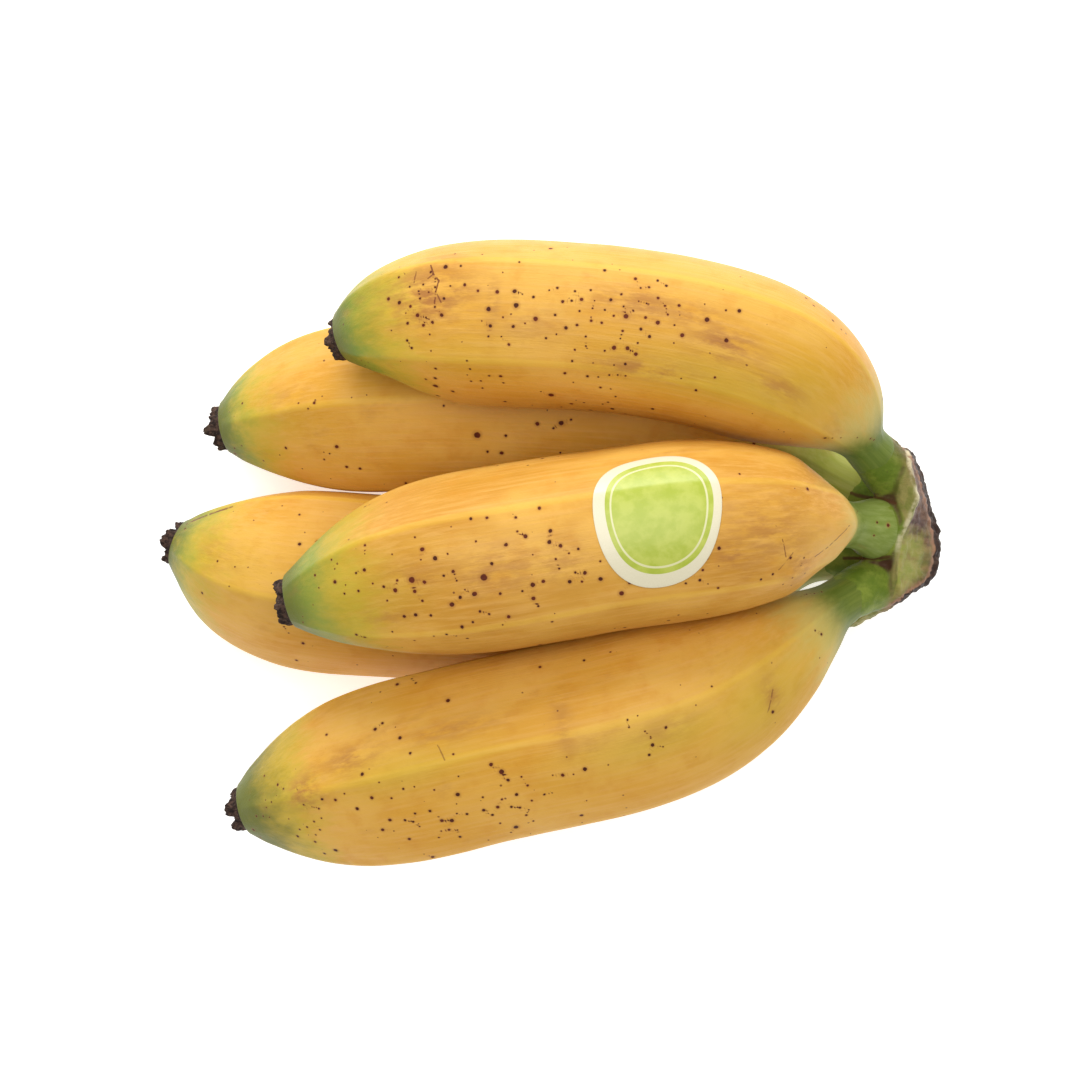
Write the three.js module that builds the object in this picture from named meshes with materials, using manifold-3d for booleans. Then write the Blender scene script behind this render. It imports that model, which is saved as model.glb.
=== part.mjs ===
// A hand of five baby bananas as cut from the bunch, lying palm down: three fingers over two, all
// joined by short green stalks to one cut crown, with a paper fruit label on the middle finger.
// Millimetres, +Z up. +X runs towards the crown and the blossom ends point to -X. The surface that
// the hand lies on is Z = 0. Left is +Y, seen from the blossom ends.
import * as THREE from "three";
import Module from "manifold-3d";
import { mergeVertices } from "three/addons/utils/BufferGeometryUtils.js";

// Driving dimensions.
const STALK_RADIUS = 4.5;
const COLLAR_RADIUS = 5.2; // where the skin ends, round the dried stub of the blossom
const STUB_RADIUS = 4.1;
const STUB_LENGTH = 2.8;
const STUB_LIP = 0.4; // how far along the stub it is as thick as STUB_RADIUS
const STUB_NARROWING = 0.93; // its end's radius, as a share of STUB_RADIUS
const STUB_HOLLOW = 0.8; // how far the stub's end is sunk in
const ROOT_DOME = 0.5; // how far the root's end bulges
const SHOULDER_FULLNESS = 2.4; // 1 is a straight cone, and higher is blunter
const TAPER_FULLNESS = 2.6;
const DEPTH_OVER_WIDTH = 0.92; // a finger is a little less deep than it is wide
const RIDGES = 5; // a banana's cross-section is a rounded pentagon
const RIDGE_HEIGHT = 0.028; // above and below the mean, as a share of the radius
const FIT_GAP = 0.3; // between pieces that touch
const LABEL_LENGTH = 24; // along the finger
const LABEL_WIDTH = 26; // round the finger
const LABEL_THICKNESS = 0.25;

// Mesh resolution.
const RINGS = 30;
const SIDES = 25;
const CROWN_SIDES = 44;
const CROWN_LEVELS = 10;
const LABEL_SIDES = 32;
const LABEL_LOOPS = 5;

// Each finger's centreline runs from its root in the crown to its blossom end. stalk, shoulder and
// taper are the lengths over which it stays thin, swells to its full width, and narrows again.
// roll turns its ridges about the centreline, in degrees.
const FINGERS = [
  {
    name: "banana_upper_left",
    width: 30,
    stalk: 12,
    shoulder: 32,
    taper: 34,
    roll: 40,
    path: [
      [65, 13, 25],
      [62, 16, 27.5],
      [58, 20, 31.5],
      [53.5, 25.5, 36],
      [47, 30.5, 39.5],
      [38.5, 34.5, 41.8],
      [25.5, 38, 43],
      [9, 40.5, 43.3],
      [-9, 41.8, 41.9],
      [-27.5, 41.6, 37.6],
      [-39.5, 39, 32.5],
    ],
  },
  {
    name: "banana_upper_middle",
    width: 33,
    stalk: 12,
    shoulder: 46,
    taper: 42,
    roll: 30,
    path: [
      [67, 2.6, 23],
      [62.5, 3.6, 26],
      [58, 4.5, 31],
      [53, 5, 36.5],
      [46.5, 5, 42],
      [36, 4.5, 46],
      [23.5, 3.5, 48],
      [9, 1.5, 48.5],
      [-9, -1.5, 48.3],
      [-27, -4.5, 46.5],
      [-40, -7.5, 43.5],
      [-49, -9.5, 41.5],
    ],
  },
  {
    name: "banana_upper_right",
    width: 33.6,
    stalk: 11,
    shoulder: 52,
    taper: 40,
    roll: 3,
    path: [
      [61.6, -5.8, 24],
      [57.4, -7.4, 27],
      [52, -10.5, 31],
      [46, -15, 34.5],
      [38.5, -20.5, 36.6],
      [28, -26.4, 37.8],
      [13, -31.2, 38],
      [-9, -36, 37],
      [-27.5, -40.7, 33.5],
      [-46, -45.2, 28.5],
      [-58.5, -48.5, 25],
    ],
  },
  {
    name: "banana_lower_left",
    width: 32,
    stalk: 12,
    shoulder: 48,
    taper: 36,
    roll: 2,
    path: [
      [65.5, 8.5, 15],
      [57, 12.5, 15.5],
      [48.5, 17, 13.2],
      [36.5, 21.8, 12.2],
      [19, 26, 13.8],
      [-1.5, 27.2, 15.5],
      [-24.5, 27.5, 15],
      [-43.5, 26.5, 12.6],
      [-64, 23.3, 8],
    ],
  },
  {
    name: "banana_lower_right",
    width: 34,
    stalk: 14,
    shoulder: 45,
    taper: 34,
    roll: 57,
    path: [
      [63, -1, 14.5],
      [53.5, -1, 13.2],
      [43, -3, 12.2],
      [28.5, -5.5, 13.4],
      [9.5, -7.6, 15.6],
      [-13, -6.9, 16.8],
      [-36, -5.6, 16],
      [-57, -3.1, 13.2],
      [-72.5, 2, 8.5],
    ],
  },
];

// The crown's outline from above, anticlockwise from its back corner: the side that the stalks
// leave, the short face where it was torn from its neighbour, and the long cut face.
const CROWN_OUTLINE = [
  [63.5, 19.5],
  [61, 16.5],
  [62, 9.5],
  [60, 2.5],
  [58, -4.5],
  [55, -9.5],
  [55.5, -14.5],
  [60, -13],
  [63.5, -11.2],
  [67.5, -7.9],
  [72.3, -4.9],
  [73.5, 0.5],
  [72, 8.5],
  [70, 14.5],
  [67, 19],
];
const CROWN_BOTTOM = 8.5;
const CROWN_TOP = 34.5;
const SOCKET_REACH = 10; // how far past the stalk a socket follows the swelling finger
const CROWN_SHRINK = 0.4; // how much smaller its top and bottom are than its middle

// The label's place on its finger, as a share of the finger's length from the root and degrees
// round it from the top.
const LABEL_FINGER = "banana_upper_middle";
const LABEL_ALONG = 0.454;
const LABEL_ROUND = 17;

// A number that goes from 0 to 1 over the shoulder: a hollow start, then a full curve.
function swell(distance, length) {
  const share = THREE.MathUtils.clamp(distance / length, 0, 1);
  const softStart = 0.1;
  const eased = (share * share * (1 + softStart)) / (share + softStart);
  return 1 - (1 - eased) ** SHOULDER_FULLNESS;
}

// The same without the hollow, for the blossom end.
function taper(distance, length) {
  return 1 - (1 - THREE.MathUtils.clamp(distance / length, 0, 1)) ** TAPER_FULLNESS;
}

// How far a rounded pentagon's outline is from its centre, around 1.
function pentagon(angle) {
  return 1 + RIDGE_HEIGHT * Math.cos(RIDGES * angle);
}

// A finger's surface: at(s, angle, grow) gives the point at that distance along the centreline and
// that angle round it from the top, moved out by grow.
function fingerSurface(finger) {
  const line = new THREE.CatmullRomCurve3(
    finger.path.map((p) => new THREE.Vector3(...p)),
    false,
    "centripetal",
  );
  line.arcLengthDivisions = 400; // for an even spacing by length
  const length = line.getLength();
  const full = finger.width / 2;
  const roll = THREE.MathUtils.degToRad(finger.roll);

  function section(s) {
    const t = THREE.MathUtils.clamp(s / length, 0, 1);
    const centre = line.getPointAt(t);
    const along = line.getTangentAt(t);
    centre.addScaledVector(along, s - t * length);
    const side = new THREE.Vector3(0, 0, 1).cross(along).normalize();
    const up = along.clone().cross(side);
    const fromStub = length - STUB_LENGTH - s;
    const stem = swell(s - finger.stalk, finger.shoulder);
    const tip = taper(fromStub, finger.taper);
    const stemShare = THREE.MathUtils.lerp(STALK_RADIUS / full, 1, stem);
    const tipShare = THREE.MathUtils.lerp(COLLAR_RADIUS / full, 1, tip);
    return { centre, side, up, radius: full * stemShare * tipShare, body: stem * tip };
  }

  function at(s, angle, grow = 0) {
    const { centre, side, up, radius, body } = section(s);
    const ridged = THREE.MathUtils.lerp(1, pentagon(angle - roll), body);
    const across = radius * ridged + grow;
    const deep = radius * ridged * THREE.MathUtils.lerp(1, DEPTH_OVER_WIDTH, body) + grow;
    return centre
      .clone()
      .addScaledVector(side, -across * Math.sin(angle))
      .addScaledVector(up, deep * Math.cos(angle));
  }
  return { at, length, roll, section };
}

function centreOf(points) {
  return points.reduce((sum, p) => sum.add(p), new THREE.Vector3()).divideScalar(points.length);
}

// A closed geometry from rings of points, with a fan of triangles on each end. The poles are the
// middles of the fans.
function loft(rings, firstPole = centreOf(rings[0]), lastPole = centreOf(rings.at(-1))) {
  const sides = rings[0].length;
  const points = [firstPole, ...rings.flat(), lastPole];
  const index = [];
  const vertex = (ring, side) => 1 + ring * sides + (side % sides);
  for (let side = 0; side < sides; side++) {
    index.push(0, vertex(0, side + 1), vertex(0, side));
    for (let ring = 0; ring < rings.length - 1; ring++) {
      const [a, b] = [vertex(ring, side), vertex(ring, side + 1)];
      const [c, d] = [vertex(ring + 1, side), vertex(ring + 1, side + 1)];
      index.push(a, b, d, a, d, c);
    }
    const last = rings.length - 1;
    index.push(points.length - 1, vertex(last, side), vertex(last, side + 1));
  }
  const geometry = new THREE.BufferGeometry().setFromPoints(points).setIndex(index);
  geometry.computeVertexNormals();
  return geometry;
}

// One finger, its rings closer together near both ends, with the dried stub as two more rings.
function fingerGeometry(finger) {
  const surface = fingerSurface(finger);
  const skinLength = surface.length - STUB_LENGTH;
  const ringAt = (s, shrink = 1) => {
    const { centre } = surface.section(s);
    return Array.from({ length: SIDES }, (_, j) =>
      surface.at(s, surface.roll + (2 * Math.PI * j) / SIDES).lerp(centre, 1 - shrink),
    );
  };
  const stub = STUB_RADIUS / COLLAR_RADIUS;
  const crowding = 0.5;
  const rings = Array.from({ length: RINGS }, (_, i) => {
    const u = i / (RINGS - 1);
    return ringAt(skinLength * (u - (crowding * Math.sin(2 * Math.PI * u)) / (2 * Math.PI)));
  });
  rings.push(ringAt(skinLength + STUB_LIP, stub), ringAt(surface.length, STUB_NARROWING * stub));
  const root = surface.section(-ROOT_DOME).centre;
  return loft(rings, root, surface.section(surface.length - STUB_HOLLOW).centre);
}

// The hole that a finger's root needs in the crown: its stalk, with the gap all round.
function rootSocket(finger) {
  const surface = fingerSurface(finger);
  const rings = [];
  const step = 2;
  for (let s = -ROOT_DOME - FIT_GAP; s < finger.stalk + SOCKET_REACH; s += step)
    rings.push(
      Array.from({ length: SIDES }, (_, j) =>
        surface.at(s, surface.roll + (2 * Math.PI * j) / SIDES, FIT_GAP),
      ),
    );
  return loft(rings);
}

// The crown before its sockets: the outline at full size half way up, smaller above and below.
function crownBlank() {
  const outline = new THREE.CatmullRomCurve3(
    CROWN_OUTLINE.map(([x, y]) => new THREE.Vector3(x, y, 0)),
    true,
    "centripetal",
  );
  const points = outline.getSpacedPoints(CROWN_SIDES).slice(0, -1);
  const middle = centreOf(points);
  const rings = Array.from({ length: CROWN_LEVELS }, (_, i) => {
    const height = Math.sin(((i / (CROWN_LEVELS - 1)) * 2 - 1) * (Math.PI / 2));
    const scale = 1 - CROWN_SHRINK * height ** 4;
    const z = THREE.MathUtils.lerp(CROWN_BOTTOM, CROWN_TOP, (height + 1) / 2);
    return points.map((p) => middle.clone().lerp(p, scale).setZ(z));
  });
  return loft(rings);
}

// The label's outline: a slightly squared round, as a distance from its centre at an angle.
function labelEdge(angle) {
  const squareness = 2.3;
  const cos = Math.abs(Math.cos(angle)) ** squareness;
  const sin = Math.abs(Math.sin(angle)) ** squareness;
  return (cos + sin) ** (-1 / squareness);
}

// The label: loops of points on its finger's surface, out to the edge and back underneath.
function labelGeometry() {
  const surface = fingerSurface(FINGERS.find((f) => f.name === LABEL_FINGER));
  const s = surface.length * LABEL_ALONG;
  const round = THREE.MathUtils.degToRad(LABEL_ROUND);
  const radius = surface.section(s).radius;
  const stretch = surface.at(s + 1, round).distanceTo(surface.at(s - 1, round)) / 2;
  const loop = (share, height) =>
    Array.from({ length: LABEL_SIDES }, (_, j) => {
      const angle = (-2 * Math.PI * j) / LABEL_SIDES;
      const reach = share * labelEdge(angle);
      const along = ((LABEL_LENGTH / 2) * reach * Math.cos(angle)) / stretch;
      const across = (LABEL_WIDTH / 2) * reach * Math.sin(angle);
      return surface.at(s + along, round + across / radius, height);
    });
  const innermost = 0.4; // of the spacing between loops
  const shares = Array.from(
    { length: LABEL_LOOPS },
    (_, k) => (k + innermost) / (LABEL_LOOPS - 1 + innermost),
  );
  const under = shares.map((share) => loop(share, FIT_GAP));
  const over = shares.map((share) => loop(share, FIT_GAP + LABEL_THICKNESS)).reverse();
  return loft([...under, ...over]);
}

const wasm = await Module();
wasm.setup();

// A closed geometry as a solid that can be cut.
function solid(geometry) {
  const bare = geometry.clone();
  bare.deleteAttribute("normal");
  const merged = mergeVertices(bare);
  return new wasm.Manifold(
    new wasm.Mesh({
      numProp: 3,
      vertProperties: merged.attributes.position.array,
      triVerts: new Uint32Array(merged.index.array),
    }),
  );
}

// A cut solid back as a geometry.
function geometryOf(cut) {
  const mesh = cut.getMesh();
  const geometry = new THREE.BufferGeometry();
  geometry.setAttribute("position", new THREE.BufferAttribute(mesh.vertProperties, 3));
  geometry.setIndex(new THREE.BufferAttribute(mesh.triVerts, 1));
  geometry.computeVertexNormals();
  return geometry;
}

function crownGeometry() {
  let crown = solid(crownBlank());
  for (const finger of FINGERS) crown = crown.subtract(solid(rootSocket(finger)));
  return geometryOf(crown);
}

function skin(color, roughness) {
  return new THREE.MeshStandardMaterial({ color, roughness, metalness: 0 });
}

function piece(name, geometry, material) {
  const mesh = new THREE.Mesh(geometry, material);
  mesh.name = name;
  return mesh;
}

const hand = new THREE.Group();
const peel = skin(0xdca64c, 0.45);
for (const finger of FINGERS) hand.add(piece(finger.name, fingerGeometry(finger), peel));
hand.add(piece("crown", crownGeometry(), skin(0x77813a, 0.6)));
hand.add(piece("fruit_label", labelGeometry(), skin(0xc3cf6a, 0.35)));

// The origin is under the middle of the hand, on the surface that it lies on.
const box = new THREE.Box3().setFromObject(hand, true);
const middle = box.getCenter(new THREE.Vector3());
hand.position.set(-middle.x, -middle.y, -box.min.z);

export default hand;
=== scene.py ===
"""Blender model of a hand of baby bananas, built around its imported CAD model."""
import itertools
import math

import bpy
import numpy as np
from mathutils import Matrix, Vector
from mathutils.bvhtree import BVHTree


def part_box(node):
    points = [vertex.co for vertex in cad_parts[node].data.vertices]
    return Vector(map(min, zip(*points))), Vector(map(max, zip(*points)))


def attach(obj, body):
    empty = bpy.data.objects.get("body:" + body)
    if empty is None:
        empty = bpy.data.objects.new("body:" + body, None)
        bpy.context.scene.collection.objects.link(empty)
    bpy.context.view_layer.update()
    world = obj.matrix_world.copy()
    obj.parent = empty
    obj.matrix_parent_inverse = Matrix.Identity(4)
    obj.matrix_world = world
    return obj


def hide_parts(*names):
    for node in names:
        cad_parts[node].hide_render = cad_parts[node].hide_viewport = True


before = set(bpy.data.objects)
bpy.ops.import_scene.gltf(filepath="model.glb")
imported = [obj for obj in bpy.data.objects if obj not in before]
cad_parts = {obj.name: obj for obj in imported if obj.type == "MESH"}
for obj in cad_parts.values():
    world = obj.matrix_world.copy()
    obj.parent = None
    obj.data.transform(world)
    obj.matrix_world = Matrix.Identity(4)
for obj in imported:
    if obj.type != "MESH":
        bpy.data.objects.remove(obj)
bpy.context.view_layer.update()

MM = 0.001
RIDGES = 5  # ridges along a finger
SIDES = 25  # points round each ring of a CAD finger
RIDGE_STEP = SIDES // RIDGES  # points of a CAD ring from one ridge to the next
BODY_RINGS = slice(8, 24)  # the CAD rings whose ridges are clear
SKIN_RINGS = 30  # rings of skin, from the root to the collar of the dried stub
FINE_ROUND = 180  # points round each fine ring, a multiple of the ridges
FINE_ALONG = 340  # fine rings along a finger
CAD_RIDGE = 0.028  # how far the CAD ridges stand out, over the radius
RIDGE_ROUNDING = math.radians(1.6)  # how soft the edge of a ridge is
CONTACT = 0.02 * MM  # the lowest that any skin reaches above the floor
LABEL_BED = 0.1 * MM  # how far the lump-free skin under the label is raised

# The skin's lumps: height in mm, squeeze along the finger, and size in mm.
LUMPS = ((0.28, 0.6, 15), (0.07, 0.7, 4.5), (0.012, 0.35, 1.3))
# The rings that close the skin under the dried stub: size over the last ring's, and push in mm.
LIP = ((0.975, 0.22), (0.9, 0.34), (0.75, 0.3), (0.5, 0.1))

# Where a blunt finger's end by the crown is drawn back: from and to in x and in z. The middle
# of the end, at its own y and half width in mm, is spared by a share.
BLUNT_X = (42 * MM, 55 * MM)
BLUNT_Z = (30 * MM, 37 * MM)
POINT_Y, POINT_HALF_WIDTH, POINT_SPARED = 5.5, 6.5, 0.75

# Freckles, in mm.
SPRINKLED = 45  # freckles spread evenly over a finger
LEAST_SPECKS = 0.06  # the share of specks outside the clusters
ROW_CHANCE = 0.3  # how often a freckle starts a short row
ROW_STEP = 1.7  # from one freckle of a row to the next
ROW_SCATTER = 0.25
SIZE_DRAW = (-1.45, 0.33)  # mean and spread of the logarithm of a freckle's radius
FRECKLES_APART = 0.95

# The camera looks straight down from this far above the hand's mid height.
CAMERA_ABOVE = 600 * MM
MID_HEIGHT = 30 * MM
VIEW_WIDTH = 201.28 * MM  # what the picture spans at the mid height
VIEW_CENTRE = (-0.65 * MM, 1.76 * MM)
SENSOR = 36.0


# ---------------- numbers and noise

def value_noise(points, size, seed):
    """Smooth noise of about -1 to 1 at points, with lumps of the given size."""
    scaled = points / size + 13.7 * seed
    cell = np.floor(scaled).astype(np.int64)
    part = scaled - cell
    part = part ** 3 * (part * (part * 6 - 15) + 10)
    total = np.zeros(len(points))
    for corner in itertools.product((0, 1), repeat=3):
        at = cell + corner
        key = (at[:, 0] * 73856093) ^ (at[:, 1] * 19349663) ^ (at[:, 2] * 83492791)
        key = ((key & 0xFFFFFFFF) ^ ((key & 0xFFFFFFFF) >> 13)) * 1274126177 & 0xFFFFFFFF
        key = ((key ^ (key >> 16)) * 668265263) & 0xFFFFFFFF
        weight = np.ones(len(points))
        for axis in range(3):
            weight = weight * (part[:, axis] if corner[axis] else 1 - part[:, axis])
        total += weight * (key / 0xFFFFFFFF)
    return total * 2 - 1


def ease(value, low, high):
    """0 at low and 1 at high, with a smooth step between; low may be the greater."""
    part = np.clip((value - low) / (high - low), 0, 1)
    return part * part * (3 - 2 * part)


def natural_spline(knots, values, at):
    """Natural cubic spline through values (knot, ...) at the places in at."""
    count = len(knots)
    flat = values.reshape(count, -1)
    step = np.diff(knots)
    system = np.eye(count)
    right = np.zeros_like(flat)
    for i in range(1, count - 1):
        system[i, i - 1:i + 2] = step[i - 1], 2 * (step[i - 1] + step[i]), step[i]
        right[i] = 6 * ((flat[i + 1] - flat[i]) / step[i] - (flat[i] - flat[i - 1]) / step[i - 1])
    bend = np.linalg.solve(system, right)
    i = np.clip(np.searchsorted(knots, at) - 1, 0, count - 2)
    h = step[i][:, None]
    a = (knots[i + 1] - at)[:, None] / h
    b = 1 - a
    result = a * flat[i] + b * flat[i + 1]
    result += ((a ** 3 - a) * bend[i] + (b ** 3 - b) * bend[i + 1]) * h * h / 6
    return result.reshape(len(at), *values.shape[1:])


# ---------------- meshes

def new_object(name, points, faces, smooth=True):
    """A mesh object in the scene, from points in metres."""
    mesh = bpy.data.meshes.new(name)
    mesh.from_pydata([tuple(p) for p in points], [], faces)
    mesh.validate()
    mesh.polygons.foreach_set("use_smooth", [smooth] * len(mesh.polygons))
    mesh.update()
    made = bpy.data.objects.new(name, mesh)
    bpy.context.scene.collection.objects.link(made)
    return made


def add_values(thing, name, values):
    """Stores one number, or one vector, for each vertex."""
    kind = "FLOAT" if values.ndim == 1 else "FLOAT_VECTOR"
    layer = thing.data.attributes.new(name, kind, "POINT")
    flat = np.ascontiguousarray(values, np.float32).ravel()
    layer.data.foreach_set("value" if kind == "FLOAT" else "vector", flat)


def points_of(mesh):
    flat = np.empty(len(mesh.vertices) * 3, np.float32)
    mesh.vertices.foreach_get("co", flat)
    return flat.reshape(-1, 3).astype(float)


def normals_of(mesh):
    flat = np.empty(len(mesh.vertices) * 3, np.float32)
    mesh.vertices.foreach_get("normal", flat)
    return flat.reshape(-1, 3).astype(float)


def grid_faces(rows, columns, first=0):
    """Faces of a tube of rows, closed round its columns."""
    faces = []
    for i in range(rows - 1):
        for j in range(columns):
            k = (j + 1) % columns
            a, b = first + i * columns, first + (i + 1) * columns
            faces.append((a + j, a + k, b + k, b + j))
    return faces


def closed_tube(rings):
    """Points and faces of a closed tube through rings (row, column, xyz)."""
    rows, columns = rings.shape[:2]
    points = np.vstack([rings.reshape(-1, 3), rings[0].mean(0), rings[-1].mean(0)])
    faces = grid_faces(rows, columns)
    start, end = rows * columns, rows * columns + 1
    last = (rows - 1) * columns
    for j in range(columns):
        k = (j + 1) % columns
        faces.append((start, k, j))
        faces.append((end, last + j, last + k))
    return points, faces


def dress(thing, material, slot, *nodes):
    """Gives a piece its material and body, and hides the CAD nodes that it stands for. Its slot is not
    used.
    """
    thing.data.materials.clear()
    thing.data.materials.append(material)
    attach(thing, "root")
    if nodes:
        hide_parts(*nodes)
    return thing


# ---------------- fingers

def read_rings(node):
    """The skin rings of a CAD finger (ring, point, xyz), from the root to the stub's collar.

    Point 0 is on the ridge nearest the top, and the points go round towards +Y.
    """
    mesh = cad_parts[node].data
    points, merged = np.unique(points_of(mesh).round(7), axis=0, return_inverse=True)
    merged = merged.ravel()
    near = [set() for _ in points]
    for edge in mesh.edges:
        a, b = merged[edge.vertices[0]], merged[edge.vertices[1]]
        near[a].add(b)
        near[b].add(a)
    poles = [i for i, others in enumerate(near) if len(others) == SIDES]
    root = max(poles, key=lambda i: points[i][0])
    seen, level, levels = {root}, {root}, []
    while len(levels) < SKIN_RINGS:
        level = {n for i in level for n in near[i]} - seen
        seen |= level
        levels.append(level)

    def walk(members, start, second):
        order = [start, second]
        while len(order) < SIDES:
            order.append((near[order[-1]] & members - {order[-2]} - set(order)).pop())
        return order

    rings = []
    for members in levels:
        if not rings:
            start = min(members)
            second = min(near[start] & members)
        else:
            before = points[rings[-1]]
            start = min(members, key=lambda i: np.linalg.norm(points[i] - before[0]))
            second = min(near[start] & members, key=lambda i: np.linalg.norm(points[i] - before[1]))
        rings.append(walk(members, start, second))
    return from_top_ridge(points[np.array(rings)])


def from_top_ridge(rings):
    """The rings turned so that point 0 is on the top ridge and the points go towards +Y."""
    middle = rings[len(rings) // 2]
    out = middle - middle.mean(0)
    turn = np.unwrap(np.arctan2(out[:, 1], out[:, 2]))
    if turn[-1] < turn[0]:
        rings = np.roll(rings[:, ::-1], 1, axis=1)
    reach = np.linalg.norm(rings - rings.mean(1, keepdims=True), axis=2)
    waves = np.fft.rfft(reach[BODY_RINGS], axis=1)[:, RIDGES].sum()
    shift = -np.angle(waves) * SIDES / (2 * math.pi * RIDGES)
    rings = np.roll(rings, -int(round(shift)), axis=1)
    heights = rings[len(rings) // 2, ::RIDGE_STEP, 2]
    return np.roll(rings, -RIDGE_STEP * int(heights.argmax()), axis=1)


class Finger:
    """The fine surface of one finger."""

    def __init__(self, node, look):
        self.node, self.look = node, look
        rings = read_rings(node)
        spectrum = np.fft.rfft(rings, axis=1)
        rings = np.fft.irfft(spectrum, n=FINE_ROUND, axis=1) * FINE_ROUND / SIDES
        centres = rings.mean(1)
        along = np.concatenate([[0], np.cumsum(np.linalg.norm(np.diff(centres, axis=0), axis=1))])
        self.along = np.linspace(0, along[-1], FINE_ALONG)
        surface = natural_spline(along, rings, self.along)
        self.centres = surface.mean(1)
        self.angle = np.arange(FINE_ROUND) * 2 * math.pi / FINE_ROUND
        # How far each ring is from the root and from the tip, in mm.
        self.root = self.along / MM
        self.tip = (along[-1] - self.along) / MM

        out = (surface - self.centres[:, None]) * self.stoutness()[:, None, None]
        surface = self.centres[:, None] + out
        reach = np.linalg.norm(out, axis=2, keepdims=True)
        self.radius = reach.mean(1)[:, 0]
        # Places as they would be on a straightened finger, in mm: from its tip, and across it.
        self.straight = np.dstack([
            np.repeat(self.tip[:, None], FINE_ROUND, 1),
            reach[..., 0] / MM * np.cos(self.angle),
            reach[..., 0] / MM * np.sin(self.angle),
        ])
        ridges = self.ridge_swell()
        self.smooth = surface + out / reach * (ridges + LABEL_BED)[..., None]
        self.surface = surface + out / reach * (ridges + self.lumps())[..., None]
        self.draw_back(self.surface)
        self.surface[..., 2] = np.maximum(self.surface[..., 2], CONTACT)

    def stoutness(self):
        """The thickness of each ring over CAD's: stouter by the crown, thinner at the neck."""
        root = self.root
        stout = 1 + self.look.get("stout", 0) * ease(root, 1, 5) * ease(root, 14, 9)
        return stout - self.look.get("neck", 0) * ease(root, 12, 16) * ease(root, 25, 18)

    def ridge_swell(self):
        """How far the skin stands out past CAD's, so that its ridges are crisper."""
        crisp = 0.24 + 0.34 * ease(self.tip, 56, 12) + 0.10 * ease(self.root, 46, 26)
        half_face = math.pi / RIDGES
        corner = np.abs(np.abs(self.angle % (2 * half_face) - half_face) - half_face)
        from_face = half_face - np.sqrt(corner ** 2 + RIDGE_ROUNDING ** 2)
        shape = np.cos(from_face)[None] ** -crisp[:, None]
        shape = shape / shape.mean(1, keepdims=True)
        swell = (shape - 1 - CAD_RIDGE * np.cos(RIDGES * self.angle)) * self.radius[:, None]
        swell *= ease(self.root, 6, 14)[:, None] * ease(self.tip, -1, 3)[:, None]
        return swell

    def lumps(self):
        """How far low lumps raise the skin, with none at either end."""
        flat = self.straight.reshape(-1, 3)
        total = np.zeros(len(flat))
        for i, (height, squeeze, size) in enumerate(LUMPS):
            total += height * value_noise(flat * (squeeze, 1, 1), size, self.look["seed"] + i)
        calm = ease(self.tip, 0, 6) * ease(self.root, 4, 16)
        return total.reshape(self.straight.shape[:2]) * MM * calm[:, None]

    def draw_back(self, skin):
        """Draws the upper half of a blunt finger's end by the crown back from it."""
        pointed = np.exp(-((skin[..., 1] / MM - POINT_Y) / POINT_HALF_WIDTH) ** 2)
        blunt = self.look.get("blunt", 0) * (1 - POINT_SPARED * pointed) * MM
        skin[..., 0] -= blunt * ease(skin[..., 0], *BLUNT_X) * ease(skin[..., 2], *BLUNT_Z)

    def build(self):
        """The skin's mesh, from inside the crown to under the dried stub."""
        last = self.surface[-1]
        centre = last.mean(0)
        onward = self.centres[-1] - self.centres[-4]
        onward /= np.linalg.norm(onward)
        lip = [centre + (last - centre) * scale + onward * push * MM for scale, push in LIP]
        # The root's end is drawn in, so that it stays under the crown's skin.
        sunk = 1 - 0.3 * ease(self.root, 9, 3)
        skin = self.centres[:, None] + (self.surface - self.centres[:, None]) * sunk[:, None, None]
        self.points, faces = closed_tube(np.concatenate([skin, np.array(lip)]))
        self.tree = BVHTree.FromPolygons([Vector(p) for p in self.points], faces)
        made = new_object(self.node.replace("banana", "skin"), self.points, faces)
        self.store_marks(made)
        return made

    def spread(self, values):
        """Values of the skin's rings, given to every point of the mesh."""
        rows = np.concatenate([values, np.repeat(values[-1:], len(LIP), 0)])
        flat = rows.reshape(len(rows) * FINE_ROUND, *values.shape[2:])
        return np.concatenate([flat, rows[:1, 0], rows[-1:, 0]])

    def store_marks(self, made):
        """Stores what the peel's material reads: places along the finger, and its marks."""
        straight = self.spread(self.straight)
        wide = np.ones((1, FINE_ROUND))
        ridge = np.ones((FINE_ALONG, 1)) * np.cos(RIDGES * self.angle)[None]
        # Each finger reads the noise at a place of its own.
        add_values(made, "straight", straight + np.array([37.0 * self.look["seed"], 0, 0]))
        add_values(made, "tip", self.spread(self.tip[:, None] * wide))
        add_values(made, "root", self.spread(self.root[:, None] * wide))
        add_values(made, "ridge", self.spread(ridge))
        add_values(made, "smudge", self.patches(straight, self.look["smudges"]))
        add_values(made, "unripe", self.patches(straight, self.look["unripe"]))
        specks = np.full(len(self.points), LEAST_SPECKS)
        for x, y, size, count in self.look["clusters"]:
            near = np.exp(-(self.gaps_to(x, y) / size) ** 2)
            specks = np.maximum(specks, 0.035 * count ** 0.6 * near)
        add_values(made, "freckle", specks)
        spots = self.freckle_spots()
        gaps = np.linalg.norm(self.points[:, None] / MM - spots[None, :, :3], axis=2)
        nearest = (gaps - spots[None, :, 3]).argmin(1)
        add_values(made, "spot", spots[nearest, :3])
        add_values(made, "spot_size", spots[nearest, 3])
        add_values(made, "spot_gap", gaps[np.arange(len(self.points)), nearest])

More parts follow.
